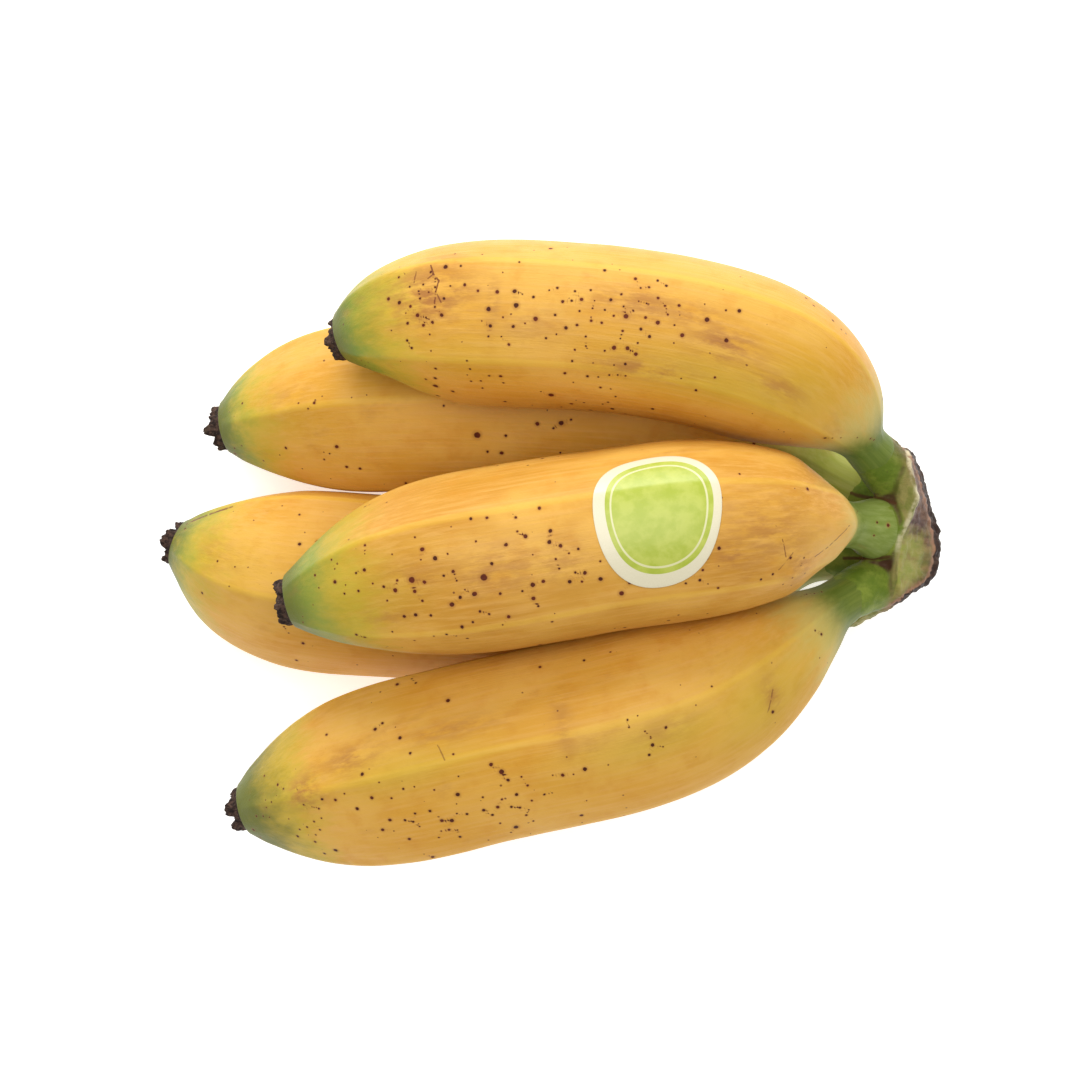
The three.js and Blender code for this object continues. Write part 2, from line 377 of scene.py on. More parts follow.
    def seen_at(self, x, y):
        """The skin's point that the camera sees at a place of the plane at mid height, in mm."""
        start = Vector((*VIEW_CENTRE, MID_HEIGHT + CAMERA_ABOVE))
        aim = Vector((x * MM, y * MM, MID_HEIGHT))
        hit = self.tree.ray_cast(start, aim - start)[0]
        if hit is None:
            hit = self.tree.find_nearest(aim)[0]
        return np.array(hit)

    def gaps_to(self, x, y):
        """How far each point of the skin is from what the camera sees at a place, in mm."""
        return np.linalg.norm(self.points - self.seen_at(x, y), axis=1) / MM

    def patches(self, straight, places):
        """Soft oval patches along the skin, each (x, y, length, width, amount)."""
        total = np.zeros(len(straight))
        for x, y, long, wide, amount in places:
            off = (straight - straight[self.gaps_to(x, y).argmin()]) / (long, wide, wide)
            total = np.maximum(total, amount * np.exp(-(off ** 2).sum(1)))
        return total

    def freckle_spots(self):
        """Places and sizes of the larger freckles, in mm, far enough apart to be kept separate."""
        rng = np.random.default_rng(self.look["seed"])
        wanted = [(*(self.seen_at(x, y) / MM), size) for x, y, size in self.look["spots"]]
        groups = [(np.ones(len(self.points)), SPRINKLED)]
        for x, y, size, count in self.look["clusters"]:
            groups.append((np.exp(-(self.gaps_to(x, y) / size) ** 2), count))
        for weight, count in groups:
            for start in self.points[rng.choice(len(self.points), count, p=weight / weight.sum())]:
                way = rng.normal(size=3)
                way /= np.linalg.norm(way)
                steps = int(rng.integers(2, 5)) if rng.random() < ROW_CHANCE else 1
                for step in range(steps):
                    at = start / MM + way * ROW_STEP * step + rng.normal(size=3) * ROW_SCATTER
                    at = self.tree.find_nearest(Vector(at * MM))[0]
                    wanted.append((*(np.array(at) / MM), float(rng.lognormal(*SIZE_DRAW))))
        kept = []
        for spot in wanted:
            room = FRECKLES_APART + spot[3]
            if all(math.dist(spot[:3], other[:3]) > room + other[3] for other in kept):
                kept.append(spot)
        return np.array(kept)


# ---------------- materials

class Paint:
    """A short way to write a material's nodes."""

    def __init__(self, name):
        self.material = bpy.data.materials.new(name)
        self.material.use_nodes = True
        self.tree = self.material.node_tree
        self.tree.nodes.clear()

    def put(self, socket, value):
        """Links the value to a socket, or sets it there when it is the same all over."""
        if isinstance(value, bpy.types.NodeSocket):
            self.tree.links.new(value, socket)
            return
        if socket.type == "RGBA" and len(value) == 3:
            value = (*value, 1)
        socket.default_value = value

    def node(self, kind, inputs=(), **settings):
        made = self.tree.nodes.new(kind)
        for key, value in settings.items():
            setattr(made, key, value)
        for key, value in dict(inputs).items():
            self.put(made.inputs[key], value)
        return made

    def value(self, name):
        return self.node("ShaderNodeAttribute", attribute_name=name).outputs["Fac"]

    def vector(self, name):
        return self.node("ShaderNodeAttribute", attribute_name=name).outputs["Vector"]

    def place(self):
        """The point on the object, in mm."""
        at = self.node("ShaderNodeTexCoord").outputs["Object"]
        return self.scaled(at, (1000, 1000, 1000))

    def math(self, operation, *values, clamp=False):
        made = self.node("ShaderNodeMath", operation=operation, use_clamp=clamp)
        for socket, value in zip(made.inputs, values):
            self.put(socket, value)
        return made.outputs[0]

    def scaled(self, vector, by):
        return self.node("ShaderNodeVectorMath", {0: vector, 1: by}, operation="MULTIPLY").outputs[0]

    def moved(self, vector, by):
        return self.node("ShaderNodeVectorMath", {0: vector, 1: by}, operation="ADD").outputs[0]

    def gap(self, vector, point):
        made = self.node("ShaderNodeVectorMath", {0: vector, 1: point}, operation="DISTANCE")
        return made.outputs["Value"]

    def gap_to_line(self, vector, a, b):
        """The distance from the straight line between two points."""
        a, b = Vector(a), Vector(b)
        way = b - a
        off = self.moved(vector, tuple(-a))
        dot = self.node("ShaderNodeVectorMath", {0: off, 1: tuple(way / way.length_squared)},
                        operation="DOT_PRODUCT").outputs["Value"]
        part = self.math("MAXIMUM", self.math("MINIMUM", dot, 1.0), 0.0)
        foot = self.node("ShaderNodeVectorMath", {0: tuple(way), "Scale": part},
                         operation="SCALE").outputs[0]
        return self.gap(off, foot)

    def noise(self, vector, scale, detail=2.0, rough=0.5, colour=False):
        made = self.node("ShaderNodeTexNoise", {
            "Vector": vector, "Scale": scale, "Detail": detail, "Roughness": rough})
        return made.outputs["Color" if colour else "Fac"]

    def wobble(self, vector, scale, size):
        """The vector moved about at random by up to about size."""
        shake = self.moved(self.noise(vector, scale, colour=True), (-0.5, -0.5, -0.5))
        both = self.node("ShaderNodeVectorMath", {0: shake, 1: (size * 2,) * 3, 2: vector},
                         operation="MULTIPLY_ADD")
        return both.outputs[0]

    def step(self, value, low, high, top=1.0):
        """0 at low and top at high, smooth between; low may be the greater."""
        ends = (high, low, top, 0.0) if low > high else (low, high, 0.0, top)
        return self.node("ShaderNodeMapRange", {0: value, **dict(enumerate(ends, 1))},
                         interpolation_type="SMOOTHSTEP").outputs[0]

    def range(self, value, low, high):
        """A value of 0 to 1 spread from low to high."""
        return self.node("ShaderNodeMapRange", {0: value, 3: low, 4: high}).outputs[0]

    def mix(self, amount, a, b):
        return self.node("ShaderNodeMix", {0: amount, 6: a, 7: b}, data_type="RGBA").outputs[2]

    def finish(self, colour, roughness, height=None, bump=0.0, **sockets):
        """The material, with its shader; bump is the depth in metres of a height of 1."""
        shader = self.node("ShaderNodeBsdfPrincipled", {"Base Color": colour, "Roughness": roughness})
        for name, value in sockets.items():
            self.put(shader.inputs[name.replace("_", " ")], value)
        if height is not None:
            made = self.node("ShaderNodeBump", {"Height": height, "Strength": 1.0, "Distance": bump})
            self.tree.links.new(made.outputs[0], shader.inputs["Normal"])
        out = self.node("ShaderNodeOutputMaterial")
        self.tree.links.new(shader.outputs[0], out.inputs[0])
        return self.material


GOLD = (0.64, 0.315, 0.036)
GOLD_PALE = (0.70, 0.385, 0.070)
GOLD_DEEP = (0.58, 0.245, 0.024)
STREAK = (0.71, 0.385, 0.095)
RIDGE_LINE = (0.80, 0.50, 0.06)
TIP_DARK = (0.105, 0.13, 0.018)
SHOULDER = (0.50, 0.46, 0.14)
FRECKLE = (0.05, 0.008, 0.004)
HALO = (0.33, 0.12, 0.03)
BRUISE = (0.36, 0.145, 0.042)
SCAR = (0.16, 0.045, 0.02)
SPECK = (0.15, 0.045, 0.016)
FRECKLE_RED = (0.105, 0.014, 0.006)
UNRIPE = (0.47, 0.36, 0.03)
LIME = (0.46, 0.38, 0.025)
PEEL_SHEEN = 0.14
DRY_SHEEN = 0.12


def peel_material(finger):
    look = finger.look
    p = Paint(finger.node.replace("banana", "peel"))
    straight, tip, root = p.vector("straight"), p.value("tip"), p.value("root")
    place = p.place()

    broad = p.noise(p.scaled(straight, (0.5, 1, 1)), 0.09, 3)
    cloud = p.noise(straight, 0.22, 4, 0.6)
    streak = p.noise(p.scaled(straight, (0.045, 1, 1)), 1.3, 5, 0.65)
    colour = p.mix(p.step(broad, 0.35, 0.65), look.get("gold", GOLD), GOLD_PALE)
    colour = p.mix(p.step(cloud, 0.45, 0.75, 0.5), colour, GOLD_DEEP)
    colour = p.mix(p.step(streak, 0.4, 0.7, 0.6), colour, STREAK)

    # A thin paler line along each ridge.
    colour = p.mix(p.step(p.value("ridge"), 0.955, 1.0, 0.32), colour, RIDGE_LINE)

    # Green towards both ends, with an uneven edge.
    ragged = p.range(p.noise(p.scaled(straight, (0.25, 1, 1)), 0.35, 4, 0.65), -7, 7)
    tip_from, tip_to = look["tip_green"]
    tip_uneven = p.math("ADD", tip, ragged)
    green = p.mix(p.step(tip, 7, 0), look["tip_colour"], TIP_DARK)
    colour = p.mix(p.step(tip_uneven, tip_to + 6, tip_to - 3, 0.6), colour, LIME)
    colour = p.mix(p.step(tip_uneven, tip_to, tip_from, 0.95), colour, green)
    root_uneven = p.math("ADD", root, ragged)
    stalk_from, stalk_to = look["stalk_green"]
    colour = p.mix(p.step(root_uneven, stalk_to + 8, stalk_to - 4, 0.7), colour, SHOULDER)
    stalk = p.mix(p.step(streak, 0.3, 0.9), look["stalk"], look["stalk_pale"])
    root_even = p.math("MULTIPLY_ADD", ragged, 0.25, root)
    colour = p.mix(p.step(root_even, stalk_to, stalk_from, 0.97), colour, stalk)

    # Greenish bands, and soft brown smudges.
    colour = p.mix(p.math("MULTIPLY", p.value("unripe"), p.range(cloud, 0.5, 1.1)), colour, UNRIPE)
    rubbed = p.noise(p.scaled(straight, (0.35, 1, 1)), 0.6, 5, 0.65)
    smudge = p.math("MULTIPLY", p.value("smudge"), p.step(rubbed, 0.35, 0.62))
    colour = p.mix(smudge, colour, BRUISE)
    bruised = p.step(p.noise(p.scaled(straight, (0.5, 1, 1)), 0.16, 5, 0.62), 0.58, 0.78, 0.3)
    colour = p.mix(bruised, colour, BRUISE)

    # Specks too small to place, thick where the finger's freckle value is high.
    shaken = p.wobble(straight, 1.6, 0.15)
    cell = 1.3
    made = p.node("ShaderNodeTexVoronoi", {"Vector": shaken, "Scale": 1 / cell})
    chance = p.node("ShaderNodeSeparateColor", {0: made.outputs["Color"]})
    there = p.math("LESS_THAN", chance.outputs[0], p.value("freckle"))
    gap = p.math("DIVIDE", made.outputs["Distance"], p.range(chance.outputs[1], 0.09 / cell, 0.24 / cell))
    speck = p.math("MULTIPLY", p.step(gap, 1.15, 0.7, 0.85), there)
    colour = p.mix(speck, colour, SPECK)

    # Freckles: each point of the skin knows the middle and size of the freckle nearest to it.
    near = p.wobble(place, 1.5, 0.11)
    size = p.math("MULTIPLY", p.value("spot_size"), p.range(p.noise(place, 0.9, 2), 0.75, 1.25))
    away = p.node("ShaderNodeVectorMath", {0: near, 1: p.vector("spot")}, operation="DISTANCE")
    # Halfway between two freckles the nearest middle jumps, so the stored distance holds there.
    least = p.math("SUBTRACT", p.value("spot_gap"), 0.38)
    gap = p.math("DIVIDE", p.math("MAXIMUM", away.outputs["Value"], least), size)
    tint = p.mix(p.step(p.noise(place, 0.35, 2), 0.4, 0.62), FRECKLE, FRECKLE_RED)
    spots = p.step(gap, 1.05, 0.72)
    colour = p.mix(p.step(gap, 2.1, 0.9, 0.42), colour, HALO)
    colour = p.mix(p.math("MULTIPLY", spots, 0.97), colour, tint)

    for width, strength, path in look["scratches"]:
        corners = [tuple(finger.seen_at(x, y) / MM) for x, y in path]
        gap = None
        for start, end in zip(corners, corners[1:]):
            each = p.gap_to_line(near, start, end)
            gap = each if gap is None else p.math("MINIMUM", gap, each)
        broken = p.step(p.noise(place, 1.1, 2), 0.36, 0.5, strength)
        line = p.math("MULTIPLY", p.step(gap, width, width * 0.45), broken)
        colour = p.mix(line, colour, SCAR)

    grain = p.noise(p.scaled(straight, (0.3, 1, 1)), 3.5, 3, 0.6)
    height = p.math("MULTIPLY", streak, p.step(root, 14, 34, 0.6))
    height = p.math("MULTIPLY_ADD", grain, 0.25, height)
    height = p.math("MULTIPLY_ADD", spots, -0.25, height)
    rough = p.math("ADD", p.range(cloud, 0.34, 0.5), p.math("MULTIPLY", spots, 0.15))
    return p.finish(colour, rough, height, 0.16 * MM, Specular_IOR_Level=PEEL_SHEEN)


def stub_material():
    p = Paint("dried_blossom")
    place = p.place()
    depth = p.value("depth")
    grain = p.noise(place, 1.2, 5, 0.65)
    fibre = p.noise(p.scaled(place, (0.4, 1, 1)), 3.2, 4, 0.65)
    colour = p.mix(p.step(grain, 0.38, 0.66), (0.020, 0.012, 0.010), (0.105, 0.060, 0.043))
    colour = p.mix(p.step(fibre, 0.55, 0.75, 0.6), colour, (0.23, 0.16, 0.12))
    colour = p.mix(p.step(p.math("ADD", depth, p.range(grain, -0.8, 0.8)), 0.6, -0.2, 0.7), colour,
                   (0.20, 0.13, 0.07))
    return p.finish(colour, p.range(grain, 0.55, 0.95), fibre, 0.45 * MM, Specular_IOR_Level=DRY_SHEEN)


# Painted shade: dark lines in the creases between the stalks, each from one place in plan to another, in
# mm.
CREASE_SHADE_LINES = (((56, 11.6, 0), (64.2, 9.4, 0)), ((56, -0.9, 0), (63.2, -0.7, 0)))


def crown_material():
    p = Paint("crown_skin")
    place = p.place()
    cut, rim, crease, stalk = p.value("cut"), p.value("rim"), p.value("crease"), p.value("stalk")
    grain = p.noise(place, 0.32, 5, 0.6)
    fine = p.noise(place, 2.2, 4, 0.6)
    fibre = p.noise(p.scaled(place, (0.35, 1, 0.35)), 0.8, 5, 0.6)
    skin = p.mix(p.step(grain, 0.36, 0.66), (0.21, 0.22, 0.055), (0.36, 0.31, 0.11))
    skin = p.mix(p.step(fibre, 0.55, 0.75, 0.35), skin, (0.42, 0.27, 0.14))
    green = p.mix(p.step(grain, 0.35, 0.65), (0.115, 0.17, 0.016), (0.21, 0.26, 0.036))
    skin = p.mix(stalk, skin, green)
    skin = p.mix(p.math("MULTIPLY", p.step(fine, 0.62, 0.7), 0.35), skin, (0.10, 0.07, 0.025))
    # Painted shade: points that lie deep in a crease are darkened.
    hollow = p.math("MULTIPLY", crease, p.range(grain, 0.4, 1.5), clamp=True)
    skin = p.mix(hollow, skin, (0.075, 0.035, 0.018))
    # The cut face: olive flesh on its -Y side, and dry purple brown on its +Y side.
    flesh = p.mix(p.step(fibre, 0.3, 0.7), (0.25, 0.27, 0.05), (0.35, 0.31, 0.09))
    flesh = p.mix(p.step(grain, 0.5, 0.68, 0.5), flesh, (0.24, 0.13, 0.06))
    dark = p.mix(p.step(fibre, 0.4, 0.65), (0.075, 0.035, 0.028), (0.17, 0.10, 0.075))
    side = p.node("ShaderNodeSeparateXYZ", {0: place}).outputs["Y"]
    face = p.mix(p.step(p.math("ADD", side, p.range(grain, -4, 4)), 1.5, 6.0), flesh, dark)
    colour = p.mix(p.step(cut, 0.35, 0.65), skin, face)
    dry = p.mix(p.step(fibre, 0.35, 0.65), (0.085, 0.042, 0.025), (0.19, 0.10, 0.05))
    colour = p.mix(p.math("MULTIPLY", p.value("outer"), p.range(grain, 0.3, 1.3), clamp=True), colour, dry)
    # Painted shade along the creases between the stalks.
    for start, end in CREASE_SHADE_LINES:
        gap = p.gap_to_line(p.wobble(p.scaled(place, (1, 1, 0)), 0.5, 0.35), start, end)
        colour = p.mix(p.step(gap, 0.55, 0.15, 0.85), colour, (0.09, 0.035, 0.015))
    # The upper rim of the cut end: brown, and nearly black at its very edge.
    edge = p.math("ADD", rim, p.range(grain, -0.22, 0.22))
    upper = p.math("MULTIPLY", p.value("upper"), p.range(fibre, 0.6, 1.4), clamp=True)
    colour = p.mix(p.math("MULTIPLY", p.step(edge, 0.2, 0.6, 0.85), upper), colour, (0.33, 0.17, 0.10))
    black = p.mix(fine, (0.012, 0.007, 0.006), (0.06, 0.032, 0.024))
    colour = p.mix(p.math("MULTIPLY", p.step(edge, 0.62, 0.8), upper), colour, black)
    # A painted highlight: a pale, broken line along the crest where the cut face starts.
    crest_highlight = p.math("MULTIPLY", p.value("crest_highlight"), p.step(p.noise(place, 0.45, 3), 0.36, 0.55, 0.75))
    colour = p.mix(crest_highlight, colour, (0.70, 0.62, 0.40))
    height = p.math("MULTIPLY_ADD", fine, 0.4, fibre)
    return p.finish(colour, p.range(grain, 0.34, 0.6), height, 0.22 * MM, Specular_IOR_Level=DRY_SHEEN)


def label_material():
    p = Paint("label_film")
    inside = p.value("inside")
    place = p.place()
    worn = p.noise(place, 0.35, 4, 0.6)
    fine = p.noise(place, 5.0, 3)
    ground = p.mix(p.step(worn, 0.35, 0.65), (0.37, 0.44, 0.035), (0.46, 0.51, 0.075))
    sheet = p.mix(fine, (0.66, 0.60, 0.42), (0.76, 0.70, 0.50))
    colour = p.mix(p.step(inside, -0.004, 0.004), sheet, ground)
    line = p.math("MULTIPLY", p.step(inside, 0.075, 0.085), p.step(inside, 0.115, 0.105))
    colour = p.mix(line, colour, (0.66, 0.64, 0.34))
    return p.finish(colour, p.range(worn, 0.25, 0.42), worn, 0.06 * MM)


FLOOR_GLOW = 0.5  # keeps the white ground white


def floor_material():
    p = Paint("floor")
    cloud = p.noise(p.place(), 0.01, 2)
    colour = p.mix(cloud, (0.93, 0.93, 0.93), (0.95, 0.95, 0.95))
    return p.finish(colour, 0.8, Emission_Color=(1, 1, 1), Emission_Strength=FLOOR_GLOW)


# ---------------- the hand

# Places are in plan, in mm, as the camera sees them at mid height. A spot is (x, y, radius), and a
# cluster of freckles is (x, y, spread, count). Smudges and unripe bands are (x, y, length, width,
# amount), and a scratch is (half width, strength, path).
# nub: how far the middle of the dried stub stands out, in mm.
# stalk, stalk_pale, tip_colour, gold: colours, where gold stands in for GOLD.
# stalk_green, tip_green: how far from the root, or the tip, the green is full and ends, in mm.
# blunt: how far the end by the crown is drawn back, in mm.
# stout, neck: shares by which the stalk is stouter by the crown and thinner under the shoulder.
FINGERS = {
    "banana_upper_left": dict(
        seed=1, nub=0.0, stalk=(0.10, 0.155, 0.02), stalk_pale=(0.19, 0.24, 0.045), stalk_green=(13, 21),
        tip_green=(2, 14), tip_colour=(0.15, 0.25, 0.025),
        spots=((-5.8, 45.9, 0.5), (-6.1, 48.5, 0.42), (-2.2, 43.4, 0.48), (14.5, 43.9, 0.48),
               (20.4, 42.7, 0.42), (-9.3, 48.4, 0.38), (6.3, 47, 0.38), (3.4, 41.7, 0.35),
               (35.5, 44.9, 0.38), (33.1, 39.4, 0.42), (10.6, 52.4, 0.32), (0.6, 56.4, 0.35),
               (-10.6, 42.1, 0.35), (-8.7, 32.8, 0.32), (-15.3, 49.7, 0.32), (-20.3, 29.2, 0.42),
               (-27.4, 46.4, 0.38), (-19.6, 44.1, 0.38)),
        clusters=((-3, 46, 8, 22), (8, 47, 5, 22), (-22, 48, 5, 20), (20, 45, 6, 14),
                  (24, 42, 8, 14), (-24, 46, 4, 14), (4, 31, 10, 12), (14, 36, 8, 12),
                  (-14, 32, 6, 8)),
        smudges=((17, 46, 8, 3, 0.7), (27, 44, 6, 2.5, 0.6), (33, 39, 6, 3, 0.85), (18, 33.9, 9, 1.8, 0.75),
                 (43, 31, 5, 2, 0.6), (-10, 46, 1.3, 5, 0.6), (-22, 48, 8, 5.5, 0.9), (-3, 42, 7, 3, 0.4)),
        unripe=((35, 31, 22, 5, 0.6), (47, 29, 10, 8, 0.5), (-18, 36, 12, 5, 0.35)),
        scratches=((0.22, 0.9, ((-21.6, 53.3), (-21.1, 51.7), (-20.1, 50.5), (-20.7, 48.4), (-20.9, 46.3))),
                   (0.2, 0.8, ((-21.1, 51.7), (-22.1, 50.9))),
                   (0.2, 0.8, ((-20.7, 48.4), (-19.7, 46.5))),
                   (0.18, 0.7, ((-24.3, 52.1), (-24.7, 50))),
                   (0.18, 0.7, ((-27.4, 53), (-26.4, 51.7))))),
    "banana_upper_middle": dict(
        seed=2, nub=0.4, gold=(0.55, 0.26, 0.033), blunt=4.4, stout=0.24, neck=0.22,
        stalk=(0.16, 0.22, 0.035), stalk_pale=(0.28, 0.34, 0.10), stalk_green=(17, 22),
        tip_green=(2, 16), tip_colour=(0.17, 0.26, 0.035),
        spots=((-25.1, -4.9, 0.62), (-13.5, -7.5, 0.5), (-20.8, -0.9, 0.42), (-2.7, -5.8, 0.45),
               (-2.6, -8.3, 0.42), (4.1, -5.2, 0.38), (13.7, -7.4, 0.5), (15.3, -5.3, 0.45),
               (9.8, -4.7, 0.4), (6.9, -3.6, 0.4), (-7.2, -11.7, 0.38), (-15.8, -13.6, 0.35),
               (2.4, 1.4, 0.35), (-7.7, 1.6, 0.35), (-1.5, 8.4, 0.32), (-14.2, 6.4, 0.3),
               (-11.2, 6.6, 0.3), (-10.3, -1.9, 0.33)),
        clusters=((0, 0, 7, 18), (-20, -7, 7, 16), (-12, -8, 6, 12), (6, -3, 3, 10), (29, -4, 4, 8),
                  (45, -3, 4, 10), (-28, -12, 6, 10), (-38, -4, 6, 14)),
        smudges=((34, -0.6, 3, 2.5, 0.7), (41, 3.5, 8, 7, 0.55), (-9, -3, 9, 5, 0.5), (1, -1, 7, 4, 0.5),
                 (-24, -4, 6, 3, 0.4), (-30, -12, 6, 2, 0.4), (46.7, -2.7, 4, 4, 0.6)),
        unripe=((-34, -8, 10, 6, 0.5),),
        scratches=((0.17, 0.75, ((57.4, 7.9), (55.8, 5.1), (54.1, 3.3), (51.9, 1.2), (49.5, -0.6))),
                   (0.16, 0.7, ((43.5, 2.6), (44.1, -0.6))),
                   (0.16, 0.6, ((42.8, -3), (45.4, 0.1))))),
    "banana_upper_right": dict(
        seed=3, nub=0.5, stalk=(0.09, 0.135, 0.014), stalk_pale=(0.18, 0.22, 0.032), stalk_green=(13, 22),
        tip_green=(2, 15), tip_colour=(0.13, 0.14, 0.016),
        spots=((-8.5, -40.4, 0.5), (-16.6, -44.6, 0.45), (6.9, -39.9, 0.42), (-7.3, -41.9, 0.35),
               (2.8, -41, 0.38), (-9.2, -46.9, 0.35), (-11.8, -47.5, 0.35), (-5.7, -44.6, 0.32),
               (-18.2, -51.1, 0.33), (-30.5, -51.1, 0.35), (-18.4, -27.2, 0.4), (-27.3, -34.1, 0.35),
               (-27.8, -24.2, 0.4), (-1.4, -21, 0.3), (-32.5, -45.2, 0.35), (19.4, -35.4, 0.35),
               (21.9, -32.2, 0.28), (41.7, -29.3, 0.35)),
        clusters=((-9, -46, 9, 24), (-24, -50, 7, 20), (-50, -44, 3, 8), (-42, -51, 5, 18),
                  (19, -34, 5, 5), (2, -45, 6, 8), (-30, -42, 8, 8)),
        smudges=((3, -32, 2, 6, 0.45), (41.7, -26.5, 1.5, 3, 0.7), (-45, -44, 4, 3, 0.9),
                 (-36, -38, 6, 2.5, 0.7), (-18, -33, 9, 2, 0.5), (21, -33, 6, 2, 0.4)),
        unripe=((-28, -40, 16, 4, 0.5), (22, -34, 16, 4, 0.55), (41, -27, 12, 8, 0.6)),
        scratches=((0.3, 0.8, ((-46.3, -43.4), (-44.5, -47.1))),
                   (0.2, 0.6, ((-20.3, -35.4), (-19, -38.2))),
                   (0.22, 0.6, ((41.7, -25.2), (40.8, -29.3))))),
    "banana_lower_left": dict(
        seed=4, nub=1.9, stalk=(0.30, 0.33, 0.05), stalk_pale=(0.42, 0.42, 0.12), stalk_green=(14, 30),
        tip_green=(1, 10), tip_colour=(0.22, 0.29, 0.03),
        spots=((-13, 21.9, 0.65), (-1.9, 24, 0.42), (-8.5, 18.6, 0.4), (-34.7, 15.7, 0.3),
               (-26.2, 13, 0.3)),
        clusters=((-9, 21, 6, 4), (-45, 22, 8, 4)),
        smudges=((-48, 29, 5, 3, 0.3),),
        unripe=((-52, 24, 12, 4, 0.4),),
        scratches=()),
    "banana_lower_right": dict(
        seed=5, nub=0.2, stalk=(0.20, 0.24, 0.04), stalk_pale=(0.36, 0.36, 0.10), stalk_green=(14, 30),
        tip_green=(0, 10), tip_colour=(0.22, 0.29, 0.03),
        spots=((-45.2, -16.6, 0.35), (-42.6, 2.2, 0.35), (-63.9, -7.3, 0.3)),
        clusters=((-48, -4, 10, 5),),
        smudges=((-62, 0, 4, 4, 0.3),),
        unripe=((-62, -2, 10, 6, 0.4),),
        scratches=((0.35, 0.9, ((-66.7, 5.5), (-63.4, 6.9), (-58.4, 8.6))),)),
}


def build_stub(finger):
    """The dried remains of the blossom: a ragged, withered cup with a nub in its middle."""
    seed = finger.look["seed"]
    onward = finger.centres[-1] - finger.centres[-5]
    onward /= np.linalg.norm(onward)
    across = finger.surface[-1, 0] - finger.centres[-1]
    across -= onward * across.dot(onward)
    across /= np.linalg.norm(across)
    side = np.cross(onward, across)
    columns = 160
    angle = np.arange(columns) * 2 * math.pi / columns
    tear = np.maximum(0, value_noise(np.dstack([np.cos(angle) * 4, np.sin(angle) * 4, angle * 0])[0],
                                     1.7, seed + 2))
    # Radius and push along the axis, in mm, of each ring of the cup.
    profile = ((4.55, -0.75), (4.75, -0.2), (4.7, 0.2), (4.4, 0.5), (4.2, 0.9), (4.1, 1.3), (4.05, 1.7),
               (4.0, 2.1), (3.9, 2.5), (3.7, 2.75), (3.45, 2.8), (3.2, 2.55), (3.0, 2.1), (2.8, 1.7),
               (2.5, 1.4), (2.1, 1.3), (1.75, 1.5), (1.5, 1.9), (1.3, 2.3), (0.95, 2.6), (0.5, 2.75))
    rings = []
    for radius, push in profile:
        free = ease(push, 0.1, 2.6)
        circle = np.dstack([np.cos(angle) * radius, np.sin(angle) * radius, np.full(columns, push)])[0]
        fray = 0.6 * value_noise(circle * (1, 1, 0.3), 1.15, seed) - 1.4 * tear
        fray += 0.32 * value_noise(circle * (1, 1, 0.5), 0.4, seed + 9)
        curl = 0.6 * value_noise(circle * (1, 1, 0.6), 2.6, seed + 4)
        curl += 0.3 * value_noise(circle, 0.8, seed + 5)
        r = radius + (curl + 0.25 * fray) * min(1, radius / 3) * (0.35 + 0.65 * free)
        z = push + fray * free * (1.0 if radius > 2.6 else 0.35) + 0.25 * free * curl
        if radius < 1.6:
            z = z + finger.look["nub"] * (1.6 - radius)
        rings.append(finger.centres[-1] + MM * (
            across * (r * np.cos(angle))[:, None] + side * (r * np.sin(angle))[:, None]
            + onward * z[:, None]))
    points, faces = closed_tube(np.array(rings))
    made = new_object(finger.node.replace("banana", "stub"), points, faces)
    depth = np.repeat([push if i < 11 else push - 2.2 for i, (_, push) in enumerate(profile)], columns)
    add_values(made, "depth", np.concatenate([depth, [-0.75, 0.5]]))
    return made


fingers = [Finger(node, look) for node, look in FINGERS.items()]
dried = stub_material()
for finger in fingers:
    skin = finger.build()
    dress(skin, peel_material(finger), "banana_peel", finger.node)
    dress(build_stub(finger), dried, "dried_blossom", finger.node)


def evaluated_copy(thing, name):
    """A new object with the mesh that the modifiers make."""
    graph = bpy.context.evaluated_depsgraph_get()
    mesh = bpy.data.meshes.new_from_object(thing.evaluated_get(graph))
    bpy.data.objects.remove(thing)
    made = bpy.data.objects.new(name, mesh)
    bpy.context.scene.collection.objects.link(made)
    mesh.polygons.foreach_set("use_smooth", [True] * len(mesh.polygons))
    return made


# The line along the top of the crown where the cut face starts: its y, its x, and how
# steeply the face falls from there, going from the -Y side to the +Y side.
CUT_Y = (-13.0, -4.0, -1.2, 3.2, 6.9, 10.6, 16.5)
CUT_X = (63.0, 64.5, 64.6, 65.4, 67.1, 68.4, 67.2)
CUT_FALL = (1.2, 1.1, 1.1, 1.25, 2.0, 3.6, 4.5)
CROWN_CREST = 31.5
STALK_PROUD = 0.62  # how much the cushion is lowered between the stalks


def lowered(at):
    """Crown points with the cushion's top let down, so that the stalks stand proud of it."""
    near_stalks = ease(at[:, 0], 68, 60)
    above = np.maximum(at[:, 2] - 18, 0)
    at = at.copy()
    at[:, 2] -= above * STALK_PROUD * near_stalks
    return at


def cut_height(at):
    """The height of the cut face over each point; far above it where there is no cut."""
    line = np.interp(at[:, 1], CUT_Y, CUT_X) + 0.35 * value_noise(at * (0, 1, 0), 1.6, 31)
    beyond = at[:, 0] - line
    face = CROWN_CREST - beyond * np.interp(at[:, 1], CUT_Y, CUT_FALL)
    face += 0.22 * value_noise(at * (1, 1, 0), 1.3, 32)
    return np.where(beyond > 0, face, 99.0)


def remeshed(thing, voxel, rounds, name):
    """The thing grown into one skin of small even faces, then softened."""
    grow = thing.modifiers.new("grow", "REMESH")
    grow.mode, grow.voxel_size = "VOXEL", voxel * MM
    soft = thing.modifiers.new("soft", "SMOOTH")
    soft.factor, soft.iterations = 0.5, rounds
    return evaluated_copy(thing, name)


